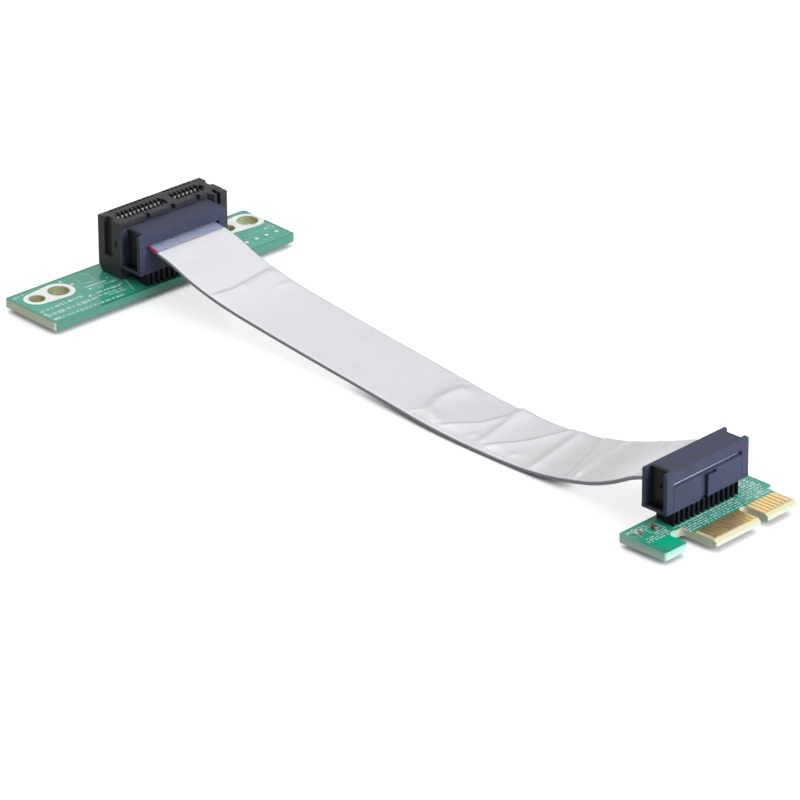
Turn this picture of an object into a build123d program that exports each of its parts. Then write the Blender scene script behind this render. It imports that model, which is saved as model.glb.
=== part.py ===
from build123d import *
import os
from math import atan2, cos, hypot, pi, sin, tan

os.makedirs("parts", exist_ok=True)

# A riser for a one-lane expansion card: a socket board with a card slot, a shielded ribbon,
# and an edge board that plugs into the computer's own slot. All sizes are millimetres.
# Frame: X runs along the socket board, Y towards its back edge, Z up. The origin is on the
# board's underside, midway between its two large mounting holes.

# Both boards
board_thick = 1.6
pad_thick = 0.05          # tinned or gilded copper stands this proud of the board
solder_drop = 1.0         # the solder joints stand this far below both boards
solder_foot_r = 0.5
solder_tip_r = 0.2
solder_sides = 6

# Socket board, measured from its left front corner
socket_board_right = 12.7   # slot's right end to the board's right end
socket_board_deep = 15.0
socket_corner_r = 0.7
hole_left = 9.55          # left end to the first large hole
hole_right = 2.85         # right end to the second large hole
hole_front = 10.68        # front edge to the line of holes
large_hole_r = 1.95
small_hole_r = 1.45
small_hole_back = 5.2     # each small hole lies this far left of its large one
large_ring_r = 3.2
small_ring_r = 2.6
ring_setback = 0.2        # hole's edge to the tin round it
test_pad_r = 0.42
test_pad_sides = 12
test_pad_count = 4
test_pad_pitch = 2.5
test_pad_right = 2.0      # right end of the board to the last pad
test_pad_front = 3.15

# Card slot, measured from its own left front corner on the board's top
slot_deep = 6.6
slot_tall = 11.45
slot_left = 21.35         # board's left end to the slot
slot_to_back_edge = 2.0   # slot's back face to the board's back edge
slot_left_wall = 1.65     # left end of the slot to the card gap
slot_right_wall = 2.2
card_gap = 1.65
card_gap_centre = 3.025   # from the slot's front face
card_gap_depth = 8.5
card_side_clear = 0.1     # at each end of a card's tongue
cavity_deep = 0.82        # contact cavities, each side of the card gap
cavity_wide = 0.6
slot_edge_break = 0.15
back_pocket_wide = 0.62   # a row of pockets along the back edge
back_pocket_deep = 0.7
back_pocket_wall = 0.15
back_pocket_drop = 2.0
back_foot_deep = 0.9      # sloped foot of the back wall
back_foot_tall = 1.4
end_groove_wide = 2.2
end_groove_deep = 0.85
end_groove_centre = 3.6
end_groove_floor = 3.8
end_slit_wide = 0.5
end_slit_at = 1.4
end_slit_low = 6.2
end_slit_high = 7.6
end_slit_deep = 0.3
window_places = (6.95, 13.1, 19.3)
window_wide = 1.05
window_deep = 0.85
window_drop = 0.9
boss_len = 3.7            # the boss at the right end, in front of the slot
boss_out = 1.5
boss_slope = 0.7
boss_clear = 0.3          # to the left ribbon connector
boss_notch_wide = 0.9
boss_notch_at = 2.1       # from the slot's right end
boss_notch_back = 0.5
boss_notch_drop = 2.75

# Contacts of the card slot and fingers of the edge board share one pattern
contact_pitch = 1.0
contacts_before_key = 11
contacts_after_key = 7
key_span = 3.0            # last contact before the key to the first one after it
key_wide = 1.9
key_web = 1.7             # the web of the slot that stands in a card's key notch
tongue_margin = 1.1       # end of the tongue to the first finger's centre
leaf_wide = 0.42
leaf_thick = 0.2
leaf_foot = 0.24          # outer wall of the cavity to the leaf's foot
leaf_crest = 8.8
leaf_tip = 10.8
leaf_reach = 0.2          # the crest stands this far into the card gap
leaf_tip_back = 0.28
slot_solder_row = 1.5     # the tails are spread over two rows on each side

# Ribbon
ribbon_ways = 26
ribbon_pitch = 0.65
ribbon_thick = 0.5
ribbon_end_inset = 0.05   # the cut ends stop this far inside the connectors

# Ribbon connectors, one kind, measured from the left front corner on a board's top
idc_deep = 5.85
idc_foot = 2.7            # underside of the body
idc_tall = 10.5
ribbon_margin = 2.3       # end of the connector to the ribbon's edge
ribbon_side_clear = 0.45  # the ribbon's edge to the cover's leg
ribbon_rise = 8.0         # middle of the ribbon where it is clamped
ribbon_slit = 0.62
slit_flare = 0.6
slit_flare_drop = 0.2
comb_deep = 4.73
comb_gap_wide = 0.7
comb_gap_deep = 1.4
blade_inset = 1.0         # comb's front or back face to the row of contacts
blade_wide = 0.4
blade_thick = 0.25
blade_clear = 0.06
fork_notch = 0.6
leg_clear = 0.04
floor_thick = 0.6         # the base's plate that closes the end channels below
channel_wide = 4.2
channel_deep = 1.33
channel_front_wall = 0.85
latch_rise = 7.3
latch_tall = 0.9
latch_wide = 1.1
latch_out = 0.45
key_groove_left = 9.0
key_groove_wide = 1.84
key_groove_deep = 0.75
flag_wide = 2.1
flag_tall = 0.6
flag_drop = 0.35
cover_edge_break = 0.25
idc_to_slot = 0.05

# Edge board, measured from the left front corner of its tab
edge_board_back = 10.9
tab_len = 5.7
tab_notch_wide = 3.8
tab_notch_back = 4.5
tab_notch_r = 0.8
tongue_out = 3.3
key_notch_back = 2.1
key_notch_r = 0.85
shoulder_wide = 1.6       # the board reaches this far past the tongue's right side
shoulder_front = 3.3
shoulder_r = 1.4
edge_corner_r = 0.5
bevel_len = 0.7
bevel_drop = 0.4
finger_wide = 0.7
finger_back = 1.85
finger_front = 2.3        # the fingers end this far in front of the tab's front edge
edge_board_x = -14.78
edge_board_y = -153.66
edge_board_turn = 3.82
idc_right_x = 6.53
idc_right_y = 5.6
chip_len = 1.6
chip_wide = 0.8
chip_tall = 0.7
chip_cap = 0.3            # length of each tinned end
chip_x = 5.6
chip_y = 7.6

# Foil sleeve round the ribbon
foil_clear = 0.07
foil_thick = 0.09
foil_start = 2.2          # the sleeve starts this far out of the left connector
foil_end_clear = 0.15

# Route of the ribbon's middle, chosen by hand from the left connector's front face: the distance
# out, and the height above the underside of the boards.
clamp_height = board_thick + ribbon_rise
arc_share = 0.45
ribbon_route = [
    (-5.9, clamp_height),
    (2.2, clamp_height),
    (15.0, 4.75),
    (38.0, 2.3),
    (66.0, 0.15),
    (80.0, -0.48),
    (99.5, -0.45),
    (110.5, 1.55),
    (119.5, 4.5),
    (128.2, clamp_height),
    (137.6, clamp_height),
]


def bar(x0, x1, y0, y1, z0, z1):
    """A block between two corners."""
    return Pos((x0 + x1) / 2, (y0 + y1) / 2, (z0 + z1) / 2) * Box(x1 - x0, y1 - y0, z1 - z0)


def prism_x(points, x0, x1):
    """A profile of (y, z) points drawn along X."""
    return Pos(x0, 0, 0) * extrude(Plane.YZ * make_face(Polyline(*points, close=True)), x1 - x0)


def prism_y(points, y0, y1):
    """A profile of (x, z) points drawn along Y."""
    face = Plane.XZ.offset(-y0) * make_face(Polyline(*points, close=True))
    return extrude(face, -(y1 - y0))


def disc(x, y, radius, z0, z1):
    """An upright cylinder."""
    return Pos(x, y, (z0 + z1) / 2) * Cylinder(radius, z1 - z0)


def at_corners(face, corners, radius):
    """Round the corners of a face that lie at the given points."""
    picked = []
    for x, y in corners:
        picked += [v for v in face.vertices() if hypot(v.X - x, v.Y - y) < 0.01]
    return fillet(picked, radius)


# Contact pattern along a card's tongue, from the tongue's left end
before_key = [tongue_margin + i * contact_pitch for i in range(contacts_before_key)]
after_key = [before_key[-1] + key_span + i * contact_pitch for i in range(contacts_after_key)]
contact_places = before_key + after_key
key_centre = before_key[-1] + key_span / 2
tongue_len = contact_places[-1] + tongue_margin

# Contact pattern of a ribbon connector: the front row takes every other way of the ribbon, the
# back row the ways between them
ribbon_wide = ribbon_ways * ribbon_pitch
comb_len = ribbon_wide
comb_left = ribbon_margin - ribbon_pitch / 2
front_ways = [ribbon_margin + (i + 0.5) * ribbon_pitch for i in range(0, ribbon_ways, 2)]
back_ways = [x + ribbon_pitch for x in front_ways]
front_row_y = blade_inset
back_row_y = comb_deep - blade_inset
idc_len = ribbon_wide + 2 * ribbon_margin
leg_len = ribbon_margin - ribbon_side_clear

# Where each board and connector stands
slot_len = slot_left_wall + 2 * card_side_clear + tongue_len + slot_right_wall
socket_board_len = slot_left + slot_len + socket_board_right
hole_spacing = socket_board_len - hole_left - hole_right
slot_y = socket_board_deep - slot_to_back_edge - slot_deep
idc_left_x = slot_left + slot_len - boss_len - boss_clear - idc_len
idc_left_y = slot_y - idc_to_slot - idc_deep
socket_at = Pos(-hole_spacing / 2 - hole_left, -hole_front, 0)
slot_at = socket_at * Pos(slot_left, slot_y, board_thick)
idc_left_at = socket_at * Pos(idc_left_x, idc_left_y, board_thick)
edge_at = Location((edge_board_x, edge_board_y, 0), (0, 0, edge_board_turn))
idc_right_at = edge_at * Pos(idc_right_x, idc_right_y, board_thick)


# Socket board and what is plated on it
def hole_centres():
    """(x, y) of the large and the small hole of each pair, from the board's corner."""
    large = [hole_left, hole_left + hole_spacing]
    return [((x, hole_front), (x - small_hole_back, hole_front)) for x in large]


def socket_outline():
    middle = Pos(socket_board_len / 2, socket_board_deep / 2)
    return middle * RectangleRounded(socket_board_len, socket_board_deep, socket_corner_r)


def socket_board():
    board = extrude(socket_outline(), board_thick)
    for large, small in hole_centres():
        board -= disc(*large, large_hole_r, 0, board_thick)
        board -= disc(*small, small_hole_r, 0, board_thick)
    return socket_at * board


def mounting_rings():
    """A tinned teardrop round each pair of holes, on the top face of the board."""
    rings = []
    for large, small in hole_centres():
        # the sides of the teardrop touch both circles
        lean = (large_ring_r - small_ring_r) / small_hole_back
        rise = (1 - lean * lean) ** 0.5
        sides = []
        for up in (1, -1):
            sides.append((small[0] - small_ring_r * lean, small[1] + up * small_ring_r * rise))
            sides.append((large[0] - large_ring_r * lean, large[1] + up * large_ring_r * rise))
        drop = make_face(Polyline(sides[0], sides[1], sides[3], sides[2], close=True))
        drop += Pos(*large) * Circle(large_ring_r)
        drop += Pos(*small) * Circle(small_ring_r)
        drop -= Pos(*large) * Circle(large_hole_r + ring_setback)
        drop -= Pos(*small) * Circle(small_hole_r + ring_setback)
        drop = drop & socket_outline()
        rings.append(socket_at * Pos(0, 0, board_thick) * extrude(drop, pad_thick))
    return rings


def test_pads():
    pads = []
    for i in range(test_pad_count):
        x = socket_board_len - test_pad_right - i * test_pad_pitch
        face = Plane((x, test_pad_front, board_thick)) * RegularPolygon(test_pad_r, test_pad_sides)
        pads.append(socket_at * extrude(face, pad_thick))
    return pads


def solder_cone():
    """A flat-sided cone of solder round a cut tail, under the board."""
    turns = [2 * pi * i / solder_sides for i in range(solder_sides)]
    foot = [Vector(solder_foot_r * cos(a), solder_foot_r * sin(a), -board_thick) for a in turns]
    tip = [Vector(solder_tip_r * cos(a), solder_tip_r * sin(a), -board_thick - solder_drop)
           for a in turns]
    faces = [Face(Wire.make_polygon(foot)), Face(Wire.make_polygon(tip))]
    for i in range(solder_sides):
        side = [foot[i - 1], foot[i], tip[i], tip[i - 1]]
        faces.append(Face(Wire.make_polygon(side)))
    return Solid(Shell(faces))


solder_joint = solder_cone()


# Card slot; a card's tongue starts just right of the gap's left end
tongue_start = slot_left_wall + card_side_clear


def slot_housing():
    gap_right = tongue_start + tongue_len + card_side_clear
    gap_front = card_gap_centre - card_gap / 2
    gap_back = card_gap_centre + card_gap / 2
    gap_floor = slot_tall - card_gap_depth

    body = bar(0, slot_len, 0, slot_deep, 0, slot_tall)
    body = chamfer(body.faces().sort_by(Axis.Z)[-1].edges(), slot_edge_break)

    # boss at the right end, its left side sloped back to the front wall
    boss_left = slot_len - boss_len
    boss_plan = make_face(Polyline(
        (boss_left, 0), (boss_left + boss_slope, -boss_out), (slot_len, -boss_out),
        (slot_len, slot_edge_break), (boss_left, slot_edge_break), close=True))
    boss = extrude(boss_plan, slot_tall - slot_edge_break)
    boss = chamfer(boss.faces().sort_by(Axis.Z)[-1].edges().sort_by(Axis.Y)[0], slot_edge_break)
    body += boss

    # card gap in two lengths, with the key web between them
    web_left = tongue_start + key_centre - key_web / 2
    body -= bar(slot_left_wall, web_left, gap_front, gap_back, gap_floor, slot_tall)
    body -= bar(web_left + key_web, gap_right, gap_front, gap_back, gap_floor, slot_tall)

    # contact cavities, open through the underside, and the pockets behind them
    pocket_back = slot_deep - back_pocket_wall
    for place in contact_places:
        x = tongue_start + place
        left, right = x - cavity_wide / 2, x + cavity_wide / 2
        body -= bar(left, right, gap_front - cavity_deep, gap_front, 0, slot_tall)
        body -= bar(left, right, gap_back, gap_back + cavity_deep, 0, slot_tall)
        left, right = x - back_pocket_wide / 2, x + back_pocket_wide / 2
        body -= bar(left, right, pocket_back - back_pocket_deep, pocket_back,
                    slot_tall - back_pocket_drop, slot_tall)

    # windows along the front edge
    for place in window_places:
        left, right = place - window_wide / 2, place + window_wide / 2
        body -= bar(left, right, 0, window_deep, slot_tall - window_drop, slot_tall)

    # grooves in both ends, open at the top, and a slit beside the left one
    groove_front = end_groove_centre - end_groove_wide / 2
    groove_back = end_groove_centre + end_groove_wide / 2
    body -= bar(0, end_groove_deep, groove_front, groove_back, end_groove_floor, slot_tall)
    body -= bar(slot_len - end_groove_deep, slot_len, groove_front, groove_back,
                end_groove_floor, slot_tall)
    slit_front = end_slit_at - end_slit_wide / 2
    body -= bar(0, end_slit_deep, slit_front, slit_front + end_slit_wide,
                end_slit_low, end_slit_high)

    # sloped foot of the back wall
    foot = [(slot_deep, 0), (slot_deep, back_foot_tall), (slot_deep - back_foot_deep, 0)]
    body -= prism_x(foot, 0, slot_len)

    # notch down the front of the boss, pointed at its lower end
    notch_x = slot_len - boss_notch_at
    notch_half = boss_notch_wide / 2
    notch_low = slot_tall - boss_notch_drop
    notch = [(notch_x - notch_half, slot_tall), (notch_x + notch_half, slot_tall),
             (notch_x + notch_half, notch_low + notch_half), (notch_x, notch_low),
             (notch_x - notch_half, notch_low + notch_half)]
    body -= prism_y(notch, -boss_out, boss_notch_back)
    return slot_at * body


def leaf_profile(side):
    """The spring leaf in the YZ plane, for the front (-1) or the back (+1) of the card gap."""
    wall = card_gap / 2 + cavity_deep
    foot = wall - leaf_foot
    crest = card_gap / 2 - leaf_reach + leaf_thick / 2
    tip = crest + leaf_tip_back
    line = [(foot, 0), (crest, leaf_crest), (tip, leaf_tip)]
    outer = [(card_gap_centre + side * (out + leaf_thick / 2), z) for out, z in line]
    inner = [(card_gap_centre + side * (out - leaf_thick / 2), z) for out, z in line]
    return outer + inner[::-1]


def slot_contacts(side):
    leaves = []
    for place in contact_places:
        x = tongue_start + place
        leaf = prism_x(leaf_profile(side), x - leaf_wide / 2, x + leaf_wide / 2)
        leaves.append(slot_at * leaf)
    return leaves


def slot_solder():
    """Every other tail steps outwards, so that the joints have room."""
    joints = []
    foot = card_gap / 2 + cavity_deep - leaf_foot
    for number, place in enumerate(contact_places):
        step = slot_solder_row if number % 2 else 0
        for side in (-1, 1):
            y = card_gap_centre + side * (foot + step)
            joints.append(slot_at * Pos(tongue_start + place, y) * solder_joint)
    return joints


# Ribbon connector: base with its comb, clamping cover, forked contacts
slit_low = ribbon_rise - ribbon_slit / 2
slit_high = ribbon_rise + ribbon_slit / 2


def idc_base():
    inner_left = leg_len + leg_clear
    inner_right = idc_len - leg_len - leg_clear
    base = bar(inner_left, inner_right, 0, idc_deep, idc_foot, slit_low)
    base += bar(0, idc_len, 0, idc_deep, idc_foot, idc_foot + floor_thick)

    # the comb's back half stands one way of the ribbon further right than its front half
    back_left = comb_left + ribbon_pitch
    base += bar(comb_left, comb_left + comb_len, 0, comb_deep / 2, 0, idc_foot)
    base += bar(back_left, back_left + comb_len, comb_deep / 2, comb_deep, 0, idc_foot)

    # the comb's gaps, and the slots that hold the contacts above them
    half_gap = comb_gap_wide / 2
    slot_half_x = blade_wide / 2 + blade_clear
    slot_half_y = blade_thick / 2 + blade_clear
    for x in front_ways:
        base -= bar(x - half_gap, x + half_gap, 0, comb_gap_deep, 0, idc_foot)
        base -= bar(x - slot_half_x, x + slot_half_x, front_row_y - slot_half_y,
                    front_row_y + slot_half_y, idc_foot, slit_low)
    for x in back_ways:
        base -= bar(x - half_gap, x + half_gap, comb_deep - comb_gap_deep, comb_deep, 0, idc_foot)
        base -= bar(x - slot_half_x, x + slot_half_x, back_row_y - slot_half_y,
                    back_row_y + slot_half_y, idc_foot, slit_low)

    # the ribbon's way out is eased at the front and the back edge
    flare_low = slit_low - slit_flare_drop
    base -= prism_x([(0, slit_low), (slit_flare, slit_low), (0, flare_low)], inner_left, inner_right)
    base -= prism_x([(idc_deep, slit_low), (idc_deep - slit_flare, slit_low),
                     (idc_deep, flare_low)], inner_left, inner_right)

    # key groove with a flag-shaped recess beside its head
    groove_right = key_groove_left + key_groove_wide
    groove_top = slit_low - flag_drop
    base -= bar(key_groove_left, groove_right, 0, key_groove_deep, idc_foot, groove_top)
    base -= bar(groove_right, groove_right + flag_wide, 0, key_groove_deep,
                groove_top - flag_tall, groove_top)
    return base


def idc_cover():
    leg_bottom = idc_foot + floor_thick + leg_clear
    cover = bar(0, idc_len, 0, idc_deep, slit_high, idc_tall)
    cover = chamfer(cover.faces().sort_by(Axis.Z)[-1].edges(), cover_edge_break)
    cover += bar(0, leg_len, 0, idc_deep, leg_bottom, slit_high)
    cover += bar(idc_len - leg_len, idc_len, 0, idc_deep, leg_bottom, slit_high)

    # open channel in each end, with a latch tooth on its inner wall
    channel_back = channel_front_wall + channel_wide
    cover -= bar(0, channel_deep, channel_front_wall, channel_back, leg_bottom, idc_tall)
    cover -= bar(idc_len - channel_deep, idc_len, channel_front_wall, channel_back,
                 leg_bottom, idc_tall)
    latch_y = channel_front_wall + (channel_wide - latch_wide) / 2
    tooth = [(channel_deep, latch_rise - latch_tall / 2), (channel_deep - latch_out, latch_rise),
             (channel_deep, latch_rise + latch_tall / 2)]
    cover += prism_y(tooth, latch_y, latch_y + latch_wide)
    far_tooth = [(idc_len - x, z) for x, z in tooth]
    cover += prism_y(far_tooth, latch_y, latch_y + latch_wide)
    return cover


def fork(x, y):
    """A flat contact whose two tines reach up to the ribbon."""
    half = blade_wide / 2
    outline = [(x - half, 0), (x + half, 0), (x + half, slit_low), (x, slit_low - fork_notch),
               (x - half, slit_low)]
    return prism_y(outline, y - blade_thick / 2, y + blade_thick / 2)


def idc_ways():
    return [(x, front_row_y) for x in front_ways] + [(x, back_row_y) for x in back_ways]


# Edge board
tongue_left = tab_len + tab_notch_wide
tongue_right = tongue_left + tongue_len
edge_board_len = tongue_right + shoulder_wide
finger_places = [tongue_left + place for place in contact_places]


def edge_board():
    key_left = tongue_left + key_centre - key_wide / 2
    key_right = key_left + key_wide
    outline = make_face(Polyline(
        (0, 0), (tab_len, 0), (tab_len, tab_notch_back), (tongue_left, tab_notch_back),
        (tongue_left, -tongue_out), (key_left, -tongue_out), (key_left, key_notch_back),
        (key_right, key_notch_back), (key_right, -tongue_out), (tongue_right, -tongue_out),
        (tongue_right, shoulder_front), (edge_board_len, shoulder_front),
        (edge_board_len, edge_board_back), (0, edge_board_back), close=True))
    outline = at_corners(outline, [(tab_len, tab_notch_back), (tongue_left, tab_notch_back)],
                         tab_notch_r)
    outline = at_corners(outline, [(key_left, key_notch_back), (key_right, key_notch_back)],
                         key_notch_r)
    outline = at_corners(outline, [(edge_board_len, shoulder_front)], shoulder_r)
    outline = at_corners(outline, [(0, 0), (tab_len, 0), (0, edge_board_back),
                                   (edge_board_len, edge_board_back)], edge_corner_r)
    board = extrude(outline, board_thick)

    # the tongue's front is bevelled on both faces
    front = -tongue_out
    board -= prism_x([(front, board_thick), (front + bevel_len, board_thick),
                      (front, board_thick - bevel_drop)], 0, edge_board_len)
    board -= prism_x([(front, 0), (front + bevel_len, 0), (front, bevel_drop)],
                     0, edge_board_len)
    return edge_at * board


def gold_fingers(z):
    half = finger_wide / 2
    fingers = []
    for x in finger_places:
        finger = bar(x - half, x + half, -finger_front, finger_back, z, z + pad_thick)
        fingers.append(edge_at * finger)
    return fingers


def chip_body():
    half_len = chip_len / 2 - chip_cap
    half_wide = chip_wide / 2
    return edge_at * bar(chip_x - half_wide, chip_x + half_wide, chip_y - half_len,
                         chip_y + half_len, board_thick, board_thick + chip_tall)


def chip_ends():
    half_wide = chip_wide / 2
    ends = []
    for y in (chip_y - chip_len / 2, chip_y + chip_len / 2 - chip_cap):
        ends.append(edge_at * bar(chip_x - half_wide, chip_x + half_wide, y, y + chip_cap,
                                  board_thick, board_thick + chip_tall))
    return ends


# Ribbon and sleeve lie in one upright plane through the middles of the two connectors
left_middle = (idc_left_at * Pos(idc_len / 2, idc_deep / 2, 0)).position
right_middle = (idc_right_at * Pos(idc_len / 2, idc_deep / 2, 0)).position
way = Vector(right_middle.X - left_middle.X, right_middle.Y - left_middle.Y, 0).normalized()
exit_point = Vector(left_middle.X, left_middle.Y, 0) + way * (idc_deep / 2)
cable_plane = Plane(exit_point, x_dir=way, z_dir=way.cross(Vector(0, 0, 1)))


def arc_radii(route):
    """Each corner's arc takes the same share of the shorter of its two runs."""
    radii = []
    for before, here, after in zip(route, route[1:], route[2:]):
        run_in = hypot(here[0] - before[0], here[1] - before[1])
        run_out = hypot(after[0] - here[0], after[1] - here[1])
        turn = abs(atan2(after[1] - here[1], after[0] - here[0])
                   - atan2(here[1] - before[1], here[0] - before[0]))
        radii.append(arc_share * min(run_in, run_out) / tan(turn / 2))
    return radii


route_radii = arc_radii(ribbon_route)
print("ribbon route radii", [round(r, 1) for r in route_radii])
route_line = cable_plane * FilletPolyline(*ribbon_route, radius=route_radii)
print("ribbon length", round(route_line.length, 2))


def band(left, right, thick):
    """A flat band along the route, between two distances across it, seen along the route."""
    section = Plane(route_line @ 0, x_dir=cable_plane.z_dir, z_dir=route_line % 0)
    middle = Pos((left + right) / 2, 0)
    return sweep(section * (middle * Rectangle(right - left, thick)), path=route_line)


def beyond(place, y0, y1):
    """A large block across the ribbon, in a connector's frame, to trim with."""
    reach = idc_len
    return place * bar(-reach, 2 * reach, y0, y1, -reach, 2 * reach)


def trimmed(shape):
    """Cut the ribbon off inside the two connectors."""
    shape -= beyond(idc_left_at, idc_deep - ribbon_end_inset, 2 * idc_deep)
    shape -= beyond(idc_right_at, -idc_deep, ribbon_end_inset)
    return shape


# the section's X points to the left of the board, so the first way lies at its far end
first_way_inner = ribbon_wide / 2 - ribbon_pitch


def ribbon():
    return trimmed(band(-ribbon_wide / 2, first_way_inner, ribbon_thick))


def red_conductor():
    return trimmed(band(first_way_inner, ribbon_wide / 2, ribbon_thick))


def foil_sleeve():
    inner_half = ribbon_wide / 2 + foil_clear
    outer_half = inner_half + foil_thick
    inner_thick = ribbon_thick + 2 * foil_clear
    sleeve = band(-outer_half, outer_half, inner_thick + 2 * foil_thick)
    sleeve -= band(-inner_half, inner_half, inner_thick)
    sleeve -= beyond(idc_left_at, -foil_start, 3 * idc_deep)
    sleeve -= beyond(idc_right_at, -idc_deep, idc_deep + foil_end_clear)
    return sleeve


base = idc_base()
cover = idc_cover()
forks = [fork(x, y) for x, y in idc_ways()]
idc_joints = [Pos(x, y) * solder_joint for x, y in idc_ways()]

nodes = {
    "socket_board": [socket_board()],
    "mounting_rings": mounting_rings(),
    "test_pads": test_pads(),
    "slot_housing": [slot_housing()],
    "slot_contacts_front": slot_contacts(-1),
    "slot_contacts_back": slot_contacts(1),
    "slot_solder_joints": slot_solder(),
    "left_connector_base": [idc_left_at * base],
    "left_connector_cover": [idc_left_at * cover],
    "left_connector_contacts": [idc_left_at * shape for shape in forks],
    "left_connector_solder": [idc_left_at * shape for shape in idc_joints],
    "edge_board": [edge_board()],
    "gold_fingers_top": gold_fingers(board_thick),
    "gold_fingers_bottom": gold_fingers(-pad_thick),
    "right_connector_base": [idc_right_at * base],
    "right_connector_cover": [idc_right_at * cover],
    "right_connector_contacts": [idc_right_at * shape for shape in forks],
    "right_connector_solder": [idc_right_at * shape for shape in idc_joints],
    "chip_body": [chip_body()],
    "chip_ends": chip_ends(),
    "ribbon": [ribbon()],
    "red_conductor": [red_conductor()],
    "foil_sleeve": [foil_sleeve()],
}

for name, shapes in nodes.items():
    solids = [solid for shape in shapes for solid in shape.solids()]
    export_step(solids[0] if len(solids) == 1 else Compound(solids), f"parts/{name}.step")
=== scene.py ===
import math
import random

import bmesh
import bpy
from mathutils import Matrix, Vector, geometry, noise


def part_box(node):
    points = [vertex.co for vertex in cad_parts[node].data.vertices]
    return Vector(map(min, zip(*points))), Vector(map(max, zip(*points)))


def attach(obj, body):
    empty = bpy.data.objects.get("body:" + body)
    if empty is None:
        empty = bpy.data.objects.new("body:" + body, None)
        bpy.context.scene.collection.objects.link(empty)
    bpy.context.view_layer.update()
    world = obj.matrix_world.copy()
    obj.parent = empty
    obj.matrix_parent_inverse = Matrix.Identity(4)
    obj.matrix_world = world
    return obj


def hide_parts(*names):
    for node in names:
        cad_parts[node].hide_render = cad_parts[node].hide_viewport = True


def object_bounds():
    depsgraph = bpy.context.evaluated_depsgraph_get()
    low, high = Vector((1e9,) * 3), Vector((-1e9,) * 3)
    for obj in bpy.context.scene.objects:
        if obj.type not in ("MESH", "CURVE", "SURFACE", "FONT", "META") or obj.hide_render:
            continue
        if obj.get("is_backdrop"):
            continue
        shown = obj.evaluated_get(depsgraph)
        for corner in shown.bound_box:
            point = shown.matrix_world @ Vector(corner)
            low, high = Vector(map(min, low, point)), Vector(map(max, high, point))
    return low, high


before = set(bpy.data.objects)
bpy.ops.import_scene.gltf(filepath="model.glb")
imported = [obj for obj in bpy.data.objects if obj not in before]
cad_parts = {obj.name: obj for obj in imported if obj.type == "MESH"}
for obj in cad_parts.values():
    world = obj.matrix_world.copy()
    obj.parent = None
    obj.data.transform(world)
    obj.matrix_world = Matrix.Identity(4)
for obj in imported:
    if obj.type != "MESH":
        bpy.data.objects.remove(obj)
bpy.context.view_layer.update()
mm = 0.001
scene = bpy.context.scene
print("frame loaded:", len(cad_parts), "nodes")


# camera at the photograph's viewing angle

cameraSet = {
    "place": (-659.9, -801.4, 477.6),    # mm, in the part's frame
    "turn": -42.04,                      # degrees, round Z
    "pitch": 26.05,                      # degrees, looking down
    "roll": -0.38,
    "lens": 270,
    "sensor": 36,
}


def addCamera(c):
    data = bpy.data.cameras.new("camera")
    data.lens = c["lens"]
    data.sensor_width = c["sensor"]
    data.clip_start = 0.05
    data.clip_end = 20
    camera = bpy.data.objects.new("camera", data)
    scene.collection.objects.link(camera)
    look = (Matrix.Rotation(math.radians(c["turn"]), 4, "Z")
            @ Matrix.Rotation(math.radians(90 - c["pitch"]), 4, "X")
            @ Matrix.Rotation(math.radians(c["roll"]), 4, "Z"))
    camera.matrix_world = Matrix.Translation(Vector(c["place"]) * mm) @ look
    scene.camera = camera


addCamera(cameraSet)


# node helpers

def feed(tree, node, inputs):            # a socket is linked, anything else is set
    for key, value in inputs.items():
        if isinstance(value, bpy.types.NodeSocket):
            tree.links.new(value, node.inputs[key])
        else:
            node.inputs[key].default_value = value
    return node


def put(tree, kind, inputs=None, **settings):
    node = tree.nodes.new("ShaderNode" + kind)
    for key, value in settings.items():
        setattr(node, key, value)
    return feed(tree, node, inputs or {})


def maths(tree, operation, a, b=0.0):
    return put(tree, "Math", {0: a, 1: b}, operation=operation).outputs[0]


def mixColours(tree, share, a, b):
    return put(tree, "Mix", {0: share, 6: a, 7: b}, data_type="RGBA").outputs[2]


def mixValues(tree, share, a, b):
    return put(tree, "Mix", {0: share, 2: a, 3: b}, data_type="FLOAT").outputs[0]


def remap(tree, value, lowIn, highIn, lowOut=0.0, highOut=1.0):
    return put(tree, "MapRange", {"Value": value, "From Min": lowIn, "From Max": highIn,
                                  "To Min": lowOut, "To Max": highOut}).outputs["Result"]


def linear(r, g, b):                     # screen colour from 0 to 255, as Blender's own
    out = []
    for c in (r, g, b):
        c = c / 255
        out.append(c / 12.92 if c <= 0.04045 else ((c + 0.055) / 1.055) ** 2.4)
    return (*out, 1)


def newMaterial(name):
    material = bpy.data.materials.new(name)
    material.use_nodes = True
    return material, material.node_tree, material.node_tree.nodes["Principled BSDF"]


def newGroup(name, inputs, outputs):
    group = bpy.data.node_groups.new(name, "ShaderNodeTree")
    for label, kind in inputs.items():
        group.interface.new_socket(label, in_out="INPUT", socket_type="NodeSocket" + kind)
    for label, kind in outputs.items():
        group.interface.new_socket(label, in_out="OUTPUT", socket_type="NodeSocket" + kind)
    return group, group.nodes.new("NodeGroupInput").outputs, group.nodes.new("NodeGroupOutput")


def useGroup(tree, group, inputs):
    node = tree.nodes.new("ShaderNodeGroup")
    node.node_tree = group
    return feed(tree, node, inputs).outputs


def eyeRays(tree):                       # camera, mirrored and see-through rays
    path = put(tree, "LightPath").outputs
    both = maths(tree, "MAXIMUM", path["Is Camera Ray"], path["Is Glossy Ray"])
    return maths(tree, "MAXIMUM", both, path["Is Transmission Ray"])


# floor, world and lamps

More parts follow.
